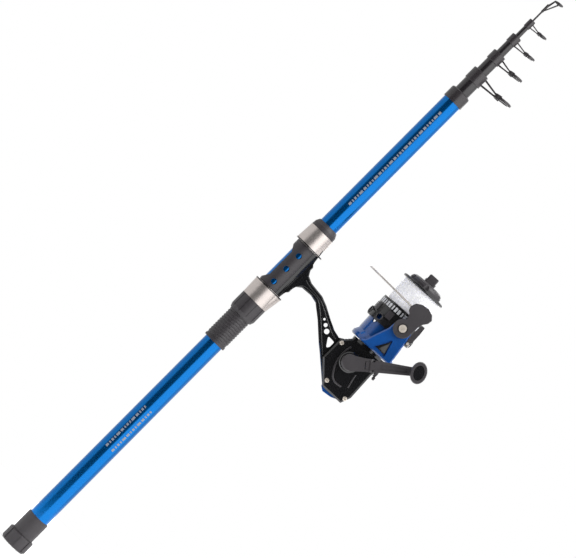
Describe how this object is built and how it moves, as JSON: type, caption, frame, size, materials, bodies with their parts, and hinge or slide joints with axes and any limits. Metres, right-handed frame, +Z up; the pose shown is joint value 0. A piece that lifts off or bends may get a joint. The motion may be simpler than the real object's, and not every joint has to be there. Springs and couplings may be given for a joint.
{
  "type": "telescopic fishing rod with spinning reel",
  "caption": "Telescopic fishing rod, closed, with line guides, a screw reel seat and a front-drag spinning reel with bail and folding crank.",
  "frame": {"origin": "centre of the butt cap's bottom face, on the rod's axis", "axes": "+Z up the rod's axis towards the tip, +X from the rod towards the reel, -Y towards the crank handle"},
  "size_m": [0.1883, 0.1075, 0.77],
  "materials": {
    "blue_lacquer": "gloss metallic",
    "section_carbon": "gloss",
    "grey_plastic": "satin",
    "guide_metal": "satin",
    "guide_ceramic": "gloss",
    "hood_steel": "brushed",
    "black_body": "gloss",
    "rotor_blue": "gloss",
    "spool_black": "gloss",
    "nylon_line": "translucent",
    "screw_steel": "polished",
    "wire_steel": "polished",
    "gear_zinc": "machined",
    "pinion_brass": "machined",
    "bearing_steel": "ground",
    "felt_washer": "felt",
    "butt_rubber": "matt",
    "cap_plastic": "satin"
  },
  "bodies": {
    "butt": {"butt_tube": "blue_lacquer", "butt_sleeve": "cap_plastic", "front_collar": "grey_plastic", "seat_body": "grey_plastic", "seat_end_ring": "grey_plastic", "fixed_hood": "hood_steel", "reel_housing": "black_body", "side_cover": "black_body", "rear_trim": "rotor_blue", "body_screws": "screw_steel", "drive_bearings": "bearing_steel", "pinion_bearing": "bearing_steel", "antireverse_clutch": "bearing_steel", "slider_guide_rod": "bearing_steel"},
    "cap_slider": {"butt_stopper": "butt_rubber"},
    "end_cap": {"butt_cap": "cap_plastic"},
    "hood": {"sliding_hood": "hood_steel"},
    "nut": {"lock_nut": "grey_plastic"},
    "section_2": {"section_2_tube": "section_carbon", "guide_1_frame": "guide_metal", "guide_1_ring": "guide_ceramic"},
    "section_3": {"section_3_tube": "section_carbon", "guide_2_frame": "guide_metal", "guide_2_ring": "guide_ceramic"},
    "section_4": {"section_4_tube": "section_carbon", "guide_3_frame": "guide_metal", "guide_3_ring": "guide_ceramic"},
    "section_5": {"section_5_tube": "section_carbon", "guide_4_frame": "guide_metal", "guide_4_ring": "guide_ceramic"},
    "tip": {"tip_section": "section_carbon", "tip_top_frame": "guide_metal", "tip_top_ring": "guide_ceramic"},
    "crank": {"drive_gear": "gear_zinc", "handle_root": "grey_plastic", "fold_pin": "bearing_steel", "handle_screw": "grey_plastic"},
    "crank_arm": {"handle_arm": "grey_plastic", "knob_shaft": "bearing_steel"},
    "grip": {"handle_knob": "grey_plastic", "knob_cap": "black_body"},
    "rotor_group": {"rotor": "rotor_blue", "pinion_gear": "pinion_brass", "rotor_nut": "pinion_brass", "rotor_arm_cover": "grey_plastic", "bail_screws": "screw_steel"},
    "bail": {"bail_lever": "grey_plastic", "roller_arm": "grey_plastic", "bail_wire": "wire_steel"},
    "roller": {"line_roller": "wire_steel"},
    "spool_shaft": {"main_shaft": "bearing_steel", "oscillation_slider": "gear_zinc"},
    "spool_group": {"spool": "spool_black", "line_winding": "nylon_line", "drag_washers": "felt_washer"},
    "drag": {"drag_knob": "grey_plastic"},
    "slow_gear": {"oscillation_gear": "grey_plastic"},
    "switch": {"antireverse_lever": "grey_plastic"}
  },
  "joints": [
    {"name": "butt_cap_advance", "type": "slide", "parent": "butt", "child": "cap_slider", "axis": [0, 0, -1], "range_m": [0, 0.008]},
    {"name": "butt_cap_turn", "type": "hinge", "parent": "cap_slider", "child": "end_cap", "pos_m": [0, 0, 0.007], "axis": [0, 0, -1], "range_deg": [0, 1440]},
    {"name": "hood_slide", "type": "slide", "parent": "butt", "child": "hood", "axis": [0, 0, -1], "range_m": [0, 0.015]},
    {"name": "lock_nut_turn", "type": "hinge", "parent": "hood", "child": "nut", "pos_m": [0, 0, 0.333], "axis": [0, 0, -1], "range_deg": [0, 1800]},
    {"name": "section_2_slide", "type": "slide", "parent": "butt", "child": "section_2", "axis": [0, 0, 1], "range_m": [0, 0.515]},
    {"name": "section_3_slide", "type": "slide", "parent": "section_2", "child": "section_3", "axis": [0, 0, 1], "range_m": [0, 0.577]},
    {"name": "section_4_slide", "type": "slide", "parent": "section_3", "child": "section_4", "axis": [0, 0, 1], "range_m": [0, 0.6005]},
    {"name": "section_5_slide", "type": "slide", "parent": "section_4", "child": "section_5", "axis": [0, 0, 1], "range_m": [0, 0.6225]},
    {"name": "tip_slide", "type": "slide", "parent": "section_5", "child": "tip", "axis": [0, 0, 1], "range_m": [0, 0.666]},
    {"name": "crank_turn", "type": "hinge", "parent": "butt", "child": "crank", "pos_m": [0.11, 0, 0.367], "axis": [0, 1, 0], "continuous": true},
    {"name": "handle_fold", "type": "hinge", "parent": "crank", "child": "crank_arm", "pos_m": [0.12598, -0.0432, 0.37903], "axis": [-0.6016, 0, 0.7988], "range_deg": [-90, 0]},
    {"name": "knob_spin", "type": "hinge", "parent": "crank_arm", "child": "grip", "pos_m": [0.16384, -0.05, 0.40755], "axis": [0, 1, 0], "continuous": true},
    {"name": "rotor_spin", "type": "hinge", "parent": "butt", "child": "rotor_group", "pos_m": [0.11564, 0, 0.39697], "axis": [-0.0454, 0, 0.999], "continuous": true},
    {"name": "bail_swing", "type": "hinge", "parent": "rotor_group", "child": "bail", "pos_m": [0.1233, 0, 0.4277], "axis": [0, 1, 0], "range_deg": [0, 110]},
    {"name": "line_roller_spin", "type": "hinge", "parent": "bail", "child": "roller", "pos_m": [0.1156, 0.0302, 0.4507], "axis": [0, 1, 0], "continuous": true},
    {"name": "spool_stroke", "type": "slide", "parent": "butt", "child": "spool_shaft", "axis": [-0.0454, 0, 0.999], "range_m": [-0.012, 0.004]},
    {"name": "spool_drag_turn", "type": "hinge", "parent": "spool_shaft", "child": "spool_group", "pos_m": [0.11301, 0, 0.45491], "axis": [-0.0454, 0, 0.999], "continuous": true},
    {"name": "drag_knob_turn", "type": "hinge", "parent": "spool_shaft", "child": "drag", "pos_m": [0.11219, 0, 0.47289], "axis": [-0.0454, 0, 0.999], "range_deg": [-360, 360]},
    {"name": "oscillation_turn", "type": "hinge", "parent": "butt", "child": "slow_gear", "pos_m": [0.112, 0, 0.3503], "axis": [0, 1, 0], "continuous": true},
    {"name": "antireverse_switch", "type": "hinge", "parent": "butt", "child": "switch", "pos_m": [0.137, 0, 0.377], "axis": [1, 0, 0], "range_deg": [-20, 20]}
  ],
  "couplings": [
    {"joint": "butt_cap_turn", "follows": "butt_cap_advance", "rad_per_m": 3141.6},
    {"joint": "lock_nut_turn", "follows": "hood_slide", "rad_per_m": 2094.4},
    {"joint": "rotor_spin", "follows": "crank_turn", "ratio": 5},
    {"joint": "oscillation_turn", "follows": "crank_turn", "ratio": -0.5}
  ]
}
